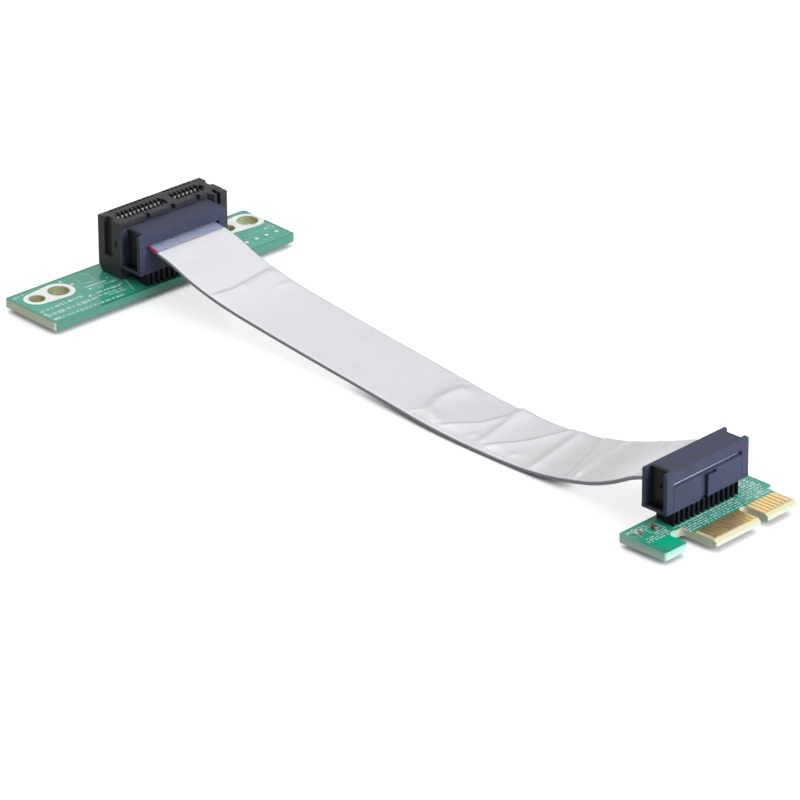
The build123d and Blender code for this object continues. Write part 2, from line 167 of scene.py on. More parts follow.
lightSet = {
    "world": 0.29,                       # what matt surfaces get from all around
    "horizon": 0.93,                     # what the eye and shiny surfaces see
    "zenith": 1.12,
    "skyHeights": (0.15, 0.9),           # the sky turns from one to the other between these
    "strip": 0.6,                        # a brighter strip overhead, between two heights
    "stripHeights": (0.46, 0.62, 0.66, 0.82),
    "floor": 0.5,
    "floorRough": 0.25,
    "floorSize": 6,                      # metres from the middle to each side
    "floorLift": 0.7,                    # the floor's own white glow, with painted contact shade where something stands over it
    "liftReach": 2.0,                    # mm
    "liftOpen": (0.2, 0.78),             # how open the floor is where the lift starts and is full
    "aim": (0, -75, 0),                  # mm, the middle of the riser
    "key": {"place": (180, -760, 240), "size": 620, "power": 9.6, "colour": (0.82, 0.9, 1.0),
            "mirrored": False},          # shiny surfaces don't show it
    "top": {"place": (-40, 130, 800), "size": 900, "power": 2.2, "colour": (1.0, 0.99, 0.97),
            "mirrored": True},
}


def addLamp(name, c, aimPoint):
    data = bpy.data.lights.new(name, "AREA")
    data.shape = "SQUARE"
    data.size = c["size"] * mm
    data.energy = c["power"]
    data.color = c["colour"]
    lamp = bpy.data.objects.new(name, data)
    scene.collection.objects.link(lamp)
    place = Vector(c["place"]) * mm
    aim = Vector(aimPoint) * mm - place
    lamp.matrix_world = Matrix.Translation(place) @ aim.to_track_quat("-Z", "Y").to_matrix().to_4x4()
    lamp.visible_glossy = c["mirrored"]


def addWorld(c):
    world = bpy.data.worlds.new("studio")
    scene.world = world
    world.use_nodes = True
    tree = world.node_tree
    ray = put(tree, "TexCoord").outputs["Generated"]
    height = maths(tree, "ABSOLUTE", put(tree, "SeparateXYZ", {0: ray}).outputs["Z"])
    low, full, still, gone = c["stripHeights"]
    strip = maths(tree, "MULTIPLY", remap(tree, height, low, full), remap(tree, height, gone, still))
    seen = maths(tree, "ADD", remap(tree, height, *c["skyHeights"], c["horizon"], c["zenith"]),
                 maths(tree, "MULTIPLY", strip, c["strip"]))
    feed(tree, tree.nodes["Background"], {"Color": (1, 1, 1, 1),
                                          "Strength": mixValues(tree, eyeRays(tree), c["world"], seen)})


def addFloor(c):
    bm = bmesh.new()
    bmesh.ops.create_grid(bm, x_segments=1, y_segments=1, size=c["floorSize"])
    mesh = bpy.data.meshes.new("floor")
    bm.to_mesh(mesh)
    bm.free()
    floor = bpy.data.objects.new("floor", mesh)
    floor.location.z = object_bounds()[0].z
    scene.collection.objects.link(floor)
    material, tree, shader = newMaterial("white floor")
    # painted shade: the glow fades by ambient occlusion under and beside the object
    near = put(tree, "AmbientOcclusion", {"Distance": c["liftReach"] * mm}, samples=12).outputs["AO"]
    lift = maths(tree, "MULTIPLY", eyeRays(tree), remap(tree, near, *c["liftOpen"], 0.0, c["floorLift"]))
    feed(tree, shader, {"Base Color": (c["floor"], c["floor"], c["floor"], 1),
                        "Roughness": c["floorRough"], "Emission Color": (1, 1, 1, 1),
                        "Emission Strength": lift})
    mesh.materials.append(material)
    floor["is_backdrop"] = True


addWorld(lightSet)
addFloor(lightSet)
addLamp("key lamp", lightSet["key"], lightSet["aim"])
addLamp("top lamp", lightSet["top"], lightSet["aim"])
print("camera, floor and lamps ready")


# where the two boards lie: their left front corner in mm, and turn in degrees

socketPlace = {"corner": (-33.0, -10.68), "turn": 0.0}
edgePlace = {"corner": (-14.78, -153.66), "turn": 3.82}
partPlace = {"corner": (0.0, 0.0), "turn": 0.0}
boardTop = 1.6                           # mm, the upper face of both boards
sunk = 0.005                             # mm, how far print and copper go into that face


def boardMatrix(c):                      # from mm on the board to the part's frame
    x, y = c["corner"]
    return (Matrix.Translation((x * mm, y * mm, 0)) @ Matrix.Rotation(math.radians(c["turn"]), 4, "Z")
            @ Matrix.Scale(mm, 4))


def boardPoint(tree, c):                 # the same way back, for a material
    x, y = c["corner"]
    place = put(tree, "TexCoord").outputs["Object"]
    return put(tree, "Mapping", {"Vector": place, "Location": (x * mm, y * mm, 0),
                                 "Rotation": (0, 0, math.radians(c["turn"])),
                                 "Scale": (mm, mm, mm)}, vector_type="TEXTURE").outputs[0]


# effects that several materials share

def makeFineGrain():                     # speckle for moulded, printed and plated surfaces
    group, given, out = newGroup("fine grain", {"Vector": "Vector", "Scale": "Float", "Smooth": "Float",
                                                "Rough": "Float", "Depth": "Float"},
                                 {"Roughness": "Float", "Normal": "Vector", "Tone": "Float"})
    speckle = put(group, "TexNoise", {"Vector": given["Vector"], "Scale": given["Scale"],
                                      "Detail": 3.0, "Roughness": 0.6}).outputs[0]
    cloud = put(group, "TexNoise", {"Vector": given["Vector"], "Scale": 0.35, "Detail": 2.0}).outputs[0]
    both = maths(group, "ADD", maths(group, "MULTIPLY", speckle, 0.5),
                 maths(group, "MULTIPLY", cloud, 0.5))
    tone = remap(group, both, 0.3, 0.7)
    rough = put(group, "MapRange", {"Value": tone, "To Min": given["Smooth"], "To Max": given["Rough"]})
    bump = put(group, "Bump", {"Height": speckle, "Strength": 0.5, "Distance": given["Depth"]})
    feed(group, out, {"Roughness": rough.outputs[0], "Normal": bump.outputs[0], "Tone": tone})
    return group


def makeBoxRegion():                     # 1 inside a box seen from above, 0 outside
    group, given, out = newGroup("box region", {"Vector": "Vector", "Low": "Vector", "High": "Vector",
                                                "Blur": "Float"}, {"Inside": "Float"})
    inward = [put(group, "VectorMath", {0: a, 1: b}, operation="SUBTRACT").outputs[0]
              for a, b in ((given["Vector"], given["Low"]), (given["High"], given["Vector"]))]
    a, b = (put(group, "SeparateXYZ", {0: vector}).outputs for vector in inward)
    nearest = maths(group, "MINIMUM", maths(group, "MINIMUM", a["X"], b["X"]),
                    maths(group, "MINIMUM", a["Y"], b["Y"]))
    share = put(group, "MapRange", {"Value": nearest, "From Min": 0.0, "From Max": given["Blur"]})
    feed(group, out, {"Inside": share.outputs[0]})
    return group


def makeRoundRegion():                   # 1 within a radius of a point seen from above
    group, given, out = newGroup("round region", {"Vector": "Vector", "Centre": "Vector",
                                                  "Radius": "Float"}, {"Inside": "Float"})
    flat = put(group, "VectorMath", {0: given["Vector"], 1: (1, 1, 0)}, operation="MULTIPLY").outputs[0]
    far = put(group, "VectorMath", {0: flat, 1: given["Centre"]}, operation="DISTANCE").outputs["Value"]
    feed(group, out, {"Inside": maths(group, "LESS_THAN", far, given["Radius"])})
    return group


cutSideSet = {"low": (0.01, 0.03), "high": (1.59, 1.57), "squeeze": (0.5, 0.5, 9.0)}


def makeCutSide(c):                      # a board's cut sides, with the layers of its laminate
    group, given, out = newGroup("cut side", {"Vector": "Vector"}, {"Side": "Float", "Layers": "Float"})
    height = put(group, "SeparateXYZ", {0: given["Vector"]}).outputs["Z"]
    side = maths(group, "MULTIPLY", remap(group, height, *c["low"]), remap(group, height, *c["high"]))
    squeezed = put(group, "VectorMath", {0: given["Vector"], 1: c["squeeze"]},
                   operation="MULTIPLY").outputs[0]
    strands = put(group, "TexNoise", {"Vector": squeezed, "Scale": 1.0, "Detail": 4.0}).outputs[0]
    feed(group, out, {"Side": side, "Layers": remap(group, strands, 0.3, 0.7)})
    return group


def makeGlassWeave():                    # glass cloth that shows through the solder mask
    group, given, out = newGroup("glass weave", {"Vector": "Vector"}, {"Tone": "Float"})
    warp, weft = (put(group, "TexWave", {"Vector": given["Vector"], "Scale": 0.55, "Distortion": 0.6},
                      bands_direction=axis).outputs["Fac"] for axis in "XY")
    feed(group, out, {"Tone": maths(group, "MULTIPLY", warp, weft)})
    return group


def makeWipeMarks():                     # fine marks drawn out along the board's Y
    group, given, out = newGroup("wipe marks", {"Vector": "Vector", "Scale": "Float"}, {"Marks": "Float"})
    drawn = put(group, "VectorMath", {0: given["Vector"], 1: (1.0, 0.06, 1.0)},
                operation="MULTIPLY").outputs[0]
    streaks = put(group, "TexNoise", {"Vector": drawn, "Scale": given["Scale"], "Detail": 3.0}).outputs[0]
    feed(group, out, {"Marks": remap(group, streaks, 0.35, 0.65)})
    return group


fineGrain, boxRegion, roundRegion = makeFineGrain(), makeBoxRegion(), makeRoundRegion()
cutSide, glassWeave, wipeMarks = makeCutSide(cutSideSet), makeGlassWeave(), makeWipeMarks()


# materials

maskSet = {"grain": {"Scale": 1.5, "Smooth": 0.14, "Rough": 0.26, "Depth": 0.006 * mm},
           "deep": 0.8, "pale": 1.12, "lift": 0.006,    # the colour's darkest and palest share
           "weave": 0.45, "speckle": 0.55}


def solderMask(tree, point, colour):     # green that shows the glass cloth under it
    weave = useGroup(tree, glassWeave, {"Vector": point})["Tone"]
    grain = useGroup(tree, fineGrain, {"Vector": point, **maskSet["grain"]})
    deep = tuple(c * maskSet["deep"] for c in colour[:3]) + (1,)
    pale = tuple(min(1, c * maskSet["pale"] + maskSet["lift"]) for c in colour[:3]) + (1,)
    tone = maths(tree, "ADD", maths(tree, "MULTIPLY", weave, maskSet["weave"]),
                 maths(tree, "MULTIPLY", grain["Tone"], maskSet["speckle"]))
    return mixColours(tree, tone, deep, pale), grain


socketBoardSet = {"mask": linear(60, 172, 144), "border": linear(34, 138, 110),
                  "side": linear(70, 132, 112), "sidePale": linear(104, 152, 132), "paleShare": 0.6,
                  "endSide": linear(214, 226, 196), "endReach": 0.35,    # the left end's cut side
                  "pour": ((0.45, 0.45, 0), (58.85, 14.55, 0)),          # copper under the mask
                  "pourBlur": 0.08, "sideRough": 0.55,
                  "holeWall": linear(206, 202, 152), "wallReach": 0.12, "wallRough": 0.35,
                  "wallMetallic": 0.6,
                  "holes": [(9.55, 10.68, 1.95), (4.35, 10.68, 1.45), (56.45, 10.68, 1.95),
                            (51.25, 10.68, 1.45)]}


def socketBoardMaterial(c):
    material, tree, shader = newMaterial("socket board mask")
    point = boardPoint(tree, socketPlace)
    top, grain = solderMask(tree, point, c["mask"])
    pour = useGroup(tree, boxRegion, {"Vector": point, "Low": c["pour"][0], "High": c["pour"][1],
                                      "Blur": c["pourBlur"]})["Inside"]
    top = mixColours(tree, pour, c["border"], top)
    cut = useGroup(tree, cutSide, {"Vector": point})
    along = put(tree, "SeparateXYZ", {0: point}).outputs["X"]
    pale = maths(tree, "MULTIPLY", cut["Layers"], c["paleShare"])
    side = mixColours(tree, pale, c["side"], c["sidePale"])
    side = mixColours(tree, maths(tree, "LESS_THAN", along, c["endReach"]), side, c["endSide"])
    colour = mixColours(tree, cut["Side"], top, side)
    walls = 0.0
    for x, y, r in c["holes"]:
        inside = useGroup(tree, roundRegion, {"Vector": point, "Centre": (x, y, 0),
                                              "Radius": r + c["wallReach"]})
        walls = maths(tree, "MAXIMUM", inside["Inside"], walls)
    walls = maths(tree, "MULTIPLY", walls, cut["Side"])
    rough = mixValues(tree, cut["Side"], grain["Roughness"], c["sideRough"])
    feed(tree, shader, {"Base Color": mixColours(tree, walls, colour, c["holeWall"]),
                        "Roughness": mixValues(tree, walls, rough, c["wallRough"]),
                        "Metallic": maths(tree, "MULTIPLY", walls, c["wallMetallic"]),
                        "Normal": grain["Normal"]})
    return material


edgeBoardSet = {"mask": linear(48, 156, 126), "vivid": linear(8, 178, 132),
                "bare": linear(196, 186, 146), "fingerBedShade": linear(160, 132, 88),
                "tongueSide": linear(206, 190, 134), "tabSide": linear(122, 192, 158),
                "sidePale": linear(190, 202, 194), "layerShare": 0.4,
                "paleFrom": 1.45, "paleTo": 0.5, "paleShares": (0.15, 0.8),   # paler further down
                "tongueFrom": 8.0, "maskEnd": 1.62, "sideRough": 0.5, "bedShadeBlur": 0.15,
                "vividBox": ((1.3, 0.1, 0), (6.9, 4.6, 0)), "vividBlur": 0.9,
                "fingerShadeBoxes": [((10.2, -2.35, 0), (21.0, 1.8, 0)), ((23.2, -2.35, 0), (30.0, 1.8, 0))]}


def edgeBoardMaterial(c):
    material, tree, shader = newMaterial("edge board mask")
    point = boardPoint(tree, edgePlace)
    top, grain = solderMask(tree, point, c["mask"])
    vivid = useGroup(tree, boxRegion, {"Vector": point, "Low": c["vividBox"][0], "High": c["vividBox"][1],
                                       "Blur": c["vividBlur"]})["Inside"]
    top = mixColours(tree, vivid, top, c["vivid"])
    axes = put(tree, "SeparateXYZ", {0: point}).outputs
    tongue = maths(tree, "GREATER_THAN", axes["X"], c["tongueFrom"])
    bare = maths(tree, "MULTIPLY", tongue, maths(tree, "LESS_THAN", axes["Y"], c["maskEnd"]))
    weave = useGroup(tree, glassWeave, {"Vector": point})["Tone"]
    cloth = mixColours(tree, weave, c["bare"], c["sidePale"])
    # painted shade: a darker tan on the bare laminate between and round the gold fingers
    for low, high in c["fingerShadeBoxes"]:
        bedShade = useGroup(tree, boxRegion, {"Vector": point, "Low": low, "High": high,
                                         "Blur": c["bedShadeBlur"]})["Inside"]
        cloth = mixColours(tree, bedShade, cloth, c["fingerBedShade"])
    top = mixColours(tree, bare, top, cloth)
    cut = useGroup(tree, cutSide, {"Vector": point})
    side = mixColours(tree, tongue, c["tabSide"], c["tongueSide"])
    low = remap(tree, axes["Z"], c["paleFrom"], c["paleTo"], *c["paleShares"])
    layers = maths(tree, "MULTIPLY", cut["Layers"], c["layerShare"])
    side = mixColours(tree, maths(tree, "MAXIMUM", low, layers), side, c["sidePale"])
    matt = maths(tree, "MAXIMUM", cut["Side"], bare)
    feed(tree, shader, {"Base Color": mixColours(tree, cut["Side"], top, side),
                        "Roughness": mixValues(tree, matt, grain["Roughness"], c["sideRough"]),
                        "Normal": grain["Normal"]})
    return material


def grainedMaterial(name, colours, grainSet, specular=0.5):
    material, tree, shader = newMaterial(name)
    grain = useGroup(tree, fineGrain, {"Vector": boardPoint(tree, partPlace), **grainSet})
    feed(tree, shader, {"Base Color": mixColours(tree, grain["Tone"], *colours),
                        "Roughness": grain["Roughness"], "Normal": grain["Normal"],
                        "Specular IOR Level": specular})
    return material


platedSet = {"grain": 0.8, "depth": 0.02, "marks": 7.0}


def platedMaterial(name, colours, rough, place):     # metal with wipe marks
    material, tree, shader = newMaterial(name)
    point = boardPoint(tree, place)
    grain = useGroup(tree, fineGrain, {"Vector": point, "Scale": platedSet["grain"], "Smooth": rough[0],
                                       "Rough": rough[1], "Depth": platedSet["depth"] * mm})
    marks = useGroup(tree, wipeMarks, {"Vector": point, "Scale": platedSet["marks"]})["Marks"]
    shade = maths(tree, "MULTIPLY", maths(tree, "ADD", marks, grain["Tone"]), 0.5)
    feed(tree, shader, {"Base Color": mixColours(tree, shade, *colours), "Metallic": 1.0,
                        "Roughness": grain["Roughness"], "Normal": grain["Normal"]})
    return material


black = grainedMaterial("slot moulding", (linear(50, 49, 52), linear(60, 58, 62)),
                        {"Scale": 3.0, "Smooth": 0.42, "Rough": 0.54, "Depth": 0.01 * mm}, 0.16)
connectorSet = {"body": (linear(58, 60, 75), linear(68, 71, 90)), "paintedShadeColour": linear(23, 23, 28),
                "combShadeTop": 4.25, "hollowShadeBlur": 0.3, "specular": 0.11,
                "grain": {"Scale": 3.0, "Smooth": 0.4, "Rough": 0.52, "Depth": 0.01 * mm},
                "shadedHollows": [(socketPlace, (21.16, 1.4, 0), (23.4, 5.5, 0)),
                            (edgePlace, (6.6, 6.4, 0), (8.8, 10.7, 0))]}


def connectorMaterial(c):                # blue-black, with painted shade in the end hollows and on the combs
    material, tree, shader = newMaterial("connector moulding")
    point = boardPoint(tree, partPlace)
    grain = useGroup(tree, fineGrain, {"Vector": point, **c["grain"]})
    # painted shade: a near-black colour on the combs below the body and in the end hollows
    deep = maths(tree, "LESS_THAN", put(tree, "SeparateXYZ", {0: point}).outputs["Z"], c["combShadeTop"])
    for place, low, high in c["shadedHollows"]:
        hollowShade = useGroup(tree, boxRegion, {"Vector": boardPoint(tree, place), "Low": low, "High": high,
                                            "Blur": c["hollowShadeBlur"]})["Inside"]
        deep = maths(tree, "MAXIMUM", deep, hollowShade)
    body = mixColours(tree, grain["Tone"], *c["body"])
    feed(tree, shader, {"Base Color": mixColours(tree, deep, body, c["paintedShadeColour"]),
                        "Roughness": grain["Roughness"], "Normal": grain["Normal"],
                        "Specular IOR Level": c["specular"]})
    return material


bluish = connectorMaterial(connectorSet)
ink = grainedMaterial("marking ink", (linear(150, 192, 182), linear(206, 222, 220)),
                      {"Scale": 2.0, "Smooth": 0.45, "Rough": 0.6, "Depth": 0.004 * mm})
covered = grainedMaterial("covered copper", (linear(72, 178, 152), linear(92, 194, 168)),
                          {"Scale": 1.5, "Smooth": 0.14, "Rough": 0.26, "Depth": 0.004 * mm})
gold = platedMaterial("gold plate", (linear(222, 188, 118), linear(242, 216, 156)), (0.3, 0.42),
                      edgePlace)
tin = platedMaterial("tin plate", (linear(205, 204, 200), linear(232, 231, 228)), (0.3, 0.42),
                     socketPlace)
solder = platedMaterial("solder", (linear(186, 188, 190), linear(214, 215, 216)), (0.16, 0.26),
                        partPlace)
chipBrown = grainedMaterial("chip ceramic", (linear(88, 74, 60), linear(112, 98, 82)),
                            {"Scale": 4.0, "Smooth": 0.5, "Rough": 0.65, "Depth": 0.01 * mm})
contactSet = {"leaf": (linear(214, 178, 110), linear(236, 206, 146)), "tip": linear(252, 250, 244),
              "tipHeights": (8.2, 9.4), "marks": 9.0, "metallic": 0.6, "rough": (0.3, 0.5)}


def contactMaterial(c):                  # gold leaves with a painted highlight on their tips
    material, tree, shader = newMaterial("contact leaves")
    point = boardPoint(tree, partPlace)
    height = put(tree, "SeparateXYZ", {0: point}).outputs["Z"]
    # painted highlight: the leaves turn near white towards their tips
    tip = remap(tree, height, *c["tipHeights"])
    marks = useGroup(tree, wipeMarks, {"Vector": point, "Scale": c["marks"]})["Marks"]
    leaf = mixColours(tree, marks, *c["leaf"])
    feed(tree, shader, {"Base Color": mixColours(tree, tip, leaf, c["tip"]), "Metallic": c["metallic"],
                        "Roughness": mixValues(tree, tip, *c["rough"])})
    return material


contactGold = contactMaterial(contactSet)

frameLooks = {
    "socket_board": socketBoardMaterial(socketBoardSet),
    "edge_board": edgeBoardMaterial(edgeBoardSet),
    "mounting_rings": tin, "test_pads": tin,
    "slot_contacts_front": contactGold, "slot_contacts_back": contactGold,
    "gold_fingers_top": gold, "gold_fingers_bottom": gold,
    "left_connector_contacts": tin, "right_connector_contacts": tin,
}
for node, material in frameLooks.items():
    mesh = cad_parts[node].data
    mesh.materials.clear()
    mesh.materials.append(material)
print("materials ready:", len(bpy.data.materials))


# finishing a piece

def finishPiece(name, bm, material, slot, *nodes):
    mesh = bpy.data.meshes.new(name)
    bm.to_mesh(mesh)
    bm.free()
    mesh.materials.append(material)
    piece = bpy.data.objects.new(name, mesh)
    scene.collection.objects.link(piece)
    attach(piece, "root")
    if nodes:
        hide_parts(*nodes)
    return piece


def frameCopy(node):                     # a CAD node's mesh, with its loose triangles merged
    bm = bmesh.new()
    bm.from_mesh(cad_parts[node].data)
    bmesh.ops.remove_doubles(bm, verts=bm.verts, dist=0.001 * mm)
    bmesh.ops.dissolve_limit(bm, angle_limit=math.radians(0.5), verts=bm.verts, edges=bm.edges)
    return bm


def islandMiddles(node):                 # the middle of each separate solid in a CAD node
    bm = frameCopy(node)
    left, middles = set(bm.verts), []
    while left:
        island, todo = set(), [left.pop()]
        while todo:
            vertex = todo.pop()
            island.add(vertex)
            near = {edge.other_vert(vertex) for edge in vertex.link_edges} & left
            left -= near
            todo.extend(near)
        middles.append(sum((v.co for v in island), Vector()) / len(island))
    bm.free()
    return sorted(middles, key=lambda p: (round(p.y, 5), p.x))


def turnedShape(profile, steps, closed=False):     # spins (radius, height) points round Z
    bm = bmesh.new()
    verts = [bm.verts.new((r, 0, z)) for r, z in profile]
    ends = list(zip(verts, verts[1:])) + ([(verts[-1], verts[0])] if closed else [])
    edges = [bm.edges.new(pair) for pair in ends]
    bmesh.ops.spin(bm, geom=verts + edges, axis=(0, 0, 1), cent=(0, 0, 0), angle=2 * math.pi,
                   steps=steps, use_merge=True)
    bmesh.ops.remove_doubles(bm, verts=bm.verts, dist=1e-5)
    bmesh.ops.recalc_face_normals(bm, faces=bm.faces)
    mesh = bpy.data.meshes.new("turned")
    bm.to_mesh(mesh)
    bm.free()
    return mesh


def repeatShape(bm, mesh, matrices):
    for matrix in matrices:
        before = set(bm.verts)
        bm.from_mesh(mesh)
        bmesh.ops.transform(bm, matrix=matrix, verts=[v for v in bm.verts if v not in before])


def addBar(bm, start, end, wide, low, high):       # a flat bar along a line, in mm on a board
    start, end = Vector(start), Vector(end)
    run = end - start
    turn = Matrix.Rotation(math.atan2(run.y, run.x), 4, "Z")
    size = Matrix.Diagonal((run.length, wide, high - low, 1))
    middle = (start + end) / 2
    bmesh.ops.create_cube(bm, size=1, matrix=Matrix.Translation((middle.x, middle.y, (low + high) / 2))
                          @ turn @ size)


# mouldings and chip parts: bevelled copies stand for the plain solids

mouldingSet = {"bevel": 0.11, "segments": 2, "sharp": 30, "shortest": 1.2}
chipSet = {"bevel": 0.05, "segments": 2, "sharp": 30, "shortest": 0.2}


def bevelledMoulding(name, node, material, c, slot="black_moulding"):
    bm = frameCopy(node)
    edges = [e for e in bm.edges if len(e.link_faces) == 2 and e.is_convex
             and e.calc_face_angle() > math.radians(c["sharp"]) and e.calc_length() > c["shortest"] * mm]
    bmesh.ops.bevel(bm, geom=edges, offset=c["bevel"] * mm, offset_type="OFFSET", segments=c["segments"],
                    profile=0.5, affect="EDGES", clamp_overlap=True, material=-1)
    bmesh.ops.dissolve_degenerate(bm, edges=bm.edges, dist=0.0005 * mm)
    finishPiece(name, bm, material, slot, node)


bevelledMoulding("cardSlotHousing", "slot_housing", black, mouldingSet)
bevelledMoulding("leftConnectorBase", "left_connector_base", bluish, mouldingSet)
bevelledMoulding("leftConnectorCover", "left_connector_cover", bluish, mouldingSet)
bevelledMoulding("rightConnectorBase", "right_connector_base", bluish, mouldingSet)
bevelledMoulding("rightConnectorCover", "right_connector_cover", bluish, mouldingSet)


def bevelledBlock(bm, low, high, bevel):           # a block between two corners, in mm on a board
    low, high = Vector(low), Vector(high)
    made = bmesh.ops.create_cube(bm, size=1, matrix=Matrix.Translation((low + high) / 2)
                                 @ Matrix.Diagonal((*(high - low), 1)))["verts"]
    edges = list({e for v in made for e in v.link_edges})
    bmesh.ops.bevel(bm, geom=edges, offset=bevel, offset_type="OFFSET", segments=2, profile=0.5,
                    affect="EDGES", clamp_overlap=True, material=-1)


endBlockSet = {"low": (41.32, 1.4, 4.95), "high": (42.54, 5.5, 12.02), "bevel": 0.1}


def connectorEndBlock(c):                # closes the channel beside the slot's boss
    bm = bmesh.new()
    bevelledBlock(bm, c["low"], c["high"], c["bevel"])
    bmesh.ops.transform(bm, matrix=boardMatrix(socketPlace), verts=bm.verts)
    finishPiece("leftConnectorEndBlock", bm, bluish, "black_moulding")


capacitorSet = {"middle": (2.3, 8.1), "long": 1.6, "wide": 0.8, "high": 0.55, "end": 0.3,
                "inset": 0.03, "bevel": 0.05}


def sideCapacitor(c):                    # a small chip capacitor on the edge board's tab
    x, y = c["middle"]
    half, side, high = c["long"] / 2, c["wide"] / 2, boardTop + c["high"]
    body, ends = bmesh.new(), bmesh.new()
    bevelledBlock(body, (x - half + c["end"], y - side + c["inset"], boardTop),
                  (x + half - c["end"], y + side - c["inset"], high - c["inset"]), c["bevel"])
    for left in (x - half, x + half - c["end"]):
        bevelledBlock(ends, (left, y - side, boardTop), (left + c["end"], y + side, high), c["bevel"])
    for name, bm, material, slot in (("sideCapacitorBody", body, chipBrown, "chip_ceramic"),
                                     ("sideCapacitorEnds", ends, tin, "tinned_copper")):
        bmesh.ops.transform(bm, matrix=boardMatrix(edgePlace), verts=bm.verts)
        finishPiece(name, bm, material, slot)


connectorEndBlock(endBlockSet)
bevelledMoulding("chipBody", "chip_body", chipBrown, chipSet, "chip_ceramic")
bevelledMoulding("chipEnds", "chip_ends", tin, chipSet, "tinned_copper")
sideCapacitor(capacitorSet)
print("mouldings and chip parts bevelled")


# solder joints with cut tails, under both boards

solderSet = {"profile": [(0.0, -1.0), (0.14, -0.985), (0.2, -0.93), (0.2, -0.62), (0.235, -0.46),
                         (0.31, -0.26), (0.42, -0.1), (0.52, -0.02), (0.54, 0.0), (0.0, 0.0)],
             "steps": 10}


def solderJoints(c):
    shape = turnedShape(c["profile"], c["steps"])
    for name, node in (("slotSolder", "slot_solder_joints"),
                       ("leftConnectorSolder", "left_connector_solder"),
                       ("rightConnectorSolder", "right_connector_solder")):
        bm = bmesh.new()
        repeatShape(bm, shape, [Matrix.Translation((p.x, p.y, 0)) @ Matrix.Scale(mm, 4)
                                for p in islandMiddles(node)])
        for face in bm.faces:
            face.smooth = True
        finishPiece(name, bm, solder, "solder", node)


def undersideRings():                    # the same tinned rings on the socket board's underside
    bm = frameCopy("mounting_rings")
    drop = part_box("mounting_rings")[1].z
    bmesh.ops.translate(bm, verts=bm.verts, vec=(0, 0, -drop))
    finishPiece("undersideRings", bm, tin, "tinned_copper")


solderJoints(solderSet)
undersideRings()
print("solder joints and underside rings made")


# copper tracks under the mask, vias and generic marks on both boards

trackSet = {"wide": 0.22, "high": 0.022}
markSet = {"wide": 0.16, "high": 0.02}
dashSet = {"long": (0.35, 1.5), "last": 0.2, "high": (0.3, 0.62), "gap": (0.18, 0.5)}
viaSet = {"profile": [(0.13, 0.0), (0.15, 0.03), (0.3, 0.03), (0.34, 0.0)], "steps": 10, "foot": 1.59}

socketTracks = [
    [(46.9, 1.1), (49.0, 1.0), (58.6, 0.62)], [(47.5, 1.9), (52.0, 1.8), (58.4, 1.95)],
    [(46.9, 6.9), (49.6, 6.9), (50.9, 5.6), (56.6, 5.6)], [(46.9, 4.4), (58.6, 4.4)],
    [(20.9, 2.6), (13.6, 2.6), (11.9, 4.3), (1.2, 4.3)], [(20.9, 3.4), (14.2, 3.4), (12.6, 5.0)],
    [(20.9, 7.4), (14.6, 7.4)], [(20.9, 12.6), (19.2, 12.6), (18.2, 13.6), (12.4, 13.6)],
]
socketVias = [(12.6, 5.0), (14.6, 7.4), (12.4, 13.6), (1.2, 4.3), (56.6, 5.6), (20.2, 9.2), (13.4, 11.3),
              (48.6, 13.6), (1.3, 1.4), (58.0, 8.1), (20.4, 5.4), (11.2, 1.2)]
socketMarks = [
    [(15.5, 13.7), (18.4, 13.3), (17.7, 9.6), (14.75, 10.0), (15.5, 13.7)],
    [(21.5, 12.2), (21.9, 9.0), (21.8, 5.5), (20.3, 1.7)],
    [(47.1, 0.9), (47.1, 13.9)],
]
socketRows = [                           # rows of small print: start, end and height
    ((1.0, 5.6), (11.6, 6.0), 1.7), ((0.9, 3.4), (13.2, 3.6), 1.7), ((1.6, 1.4), (17.5, 1.2), 1.5),
    ((14.2, 5.2), (19.8, 4.9), 1.3), ((13.8, 3.9), (19.0, 3.7), 1.0), ((15.4, 2.8), (19.6, 2.7), 1.2),
    ((17.2, 7.4), (20.4, 7.2), 1.2), ((0.9, 13.6), (3.6, 13.9), 1.0),
]
fingerTracks = {"start": 1.75, "stop": 2.9, "stagger": 0.55, "bend": 0.4, "shift": 0.35, "end": 5.5}
edgeTracks = [
    [(1.2, 5.0), (3.2, 5.0), (4.6, 6.0)], [(26.2, 7.6), (29.6, 7.6), (30.4, 6.4)],
    [(27.4, 5.4), (29.3, 4.1)], [(25.9, 9.9), (31.2, 9.8)],
]
edgeMarks = [
    [(8.0, 5.35), (24.2, 5.35)], [(4.2, 6.5), (7.2, 6.5), (7.2, 8.7), (4.2, 8.7), (4.2, 6.5)],
    [(1.9, 7.2), (1.9, 9.4), (3.2, 9.4)], [(25.0, 4.2), (25.0, 9.0), (30.6, 9.0)],
]
edgeVias = [(1.2, 5.0), (2.6, 9.9), (6.9, 5.2), (26.2, 7.6), (28.4, 8.2), (30.4, 6.4), (27.4, 5.4),
            (29.3, 4.1), (25.9, 9.9), (31.2, 9.8), (1.1, 9.7)]
edgeFields = [                           # fields of small print: two corners and the rows' height
    ((8.6, 2.5), (24.2, 5.2), 0.66), ((25.4, 2.7), (31.4, 9.8), 0.72),
    ((0.8, 4.6), (7.8, 6.3), 0.62), ((0.8, 9.2), (6.0, 10.2), 0.6),
]


def drawLines(bm, lines, c):
    for points in lines:
        for start, end in zip(points, points[1:]):
            addBar(bm, start, end, c["wide"], boardTop - sunk, boardTop + c["high"])


def drawRing(bm, middle, radius, wide):
    inner, low, high = radius - wide, boardTop - sunk, boardTop + markSet["high"]
    ring = turnedShape([(inner, low), (inner, high), (radius, high), (radius, low)], 20, True)
    repeatShape(bm, ring, [Matrix.Translation((*middle, 0))])


def drawVias(bm, places):
    repeatShape(bm, turnedShape(viaSet["profile"], viaSet["steps"], True),
                [Matrix.Translation((x, y, viaSet["foot"])) for x, y in places])


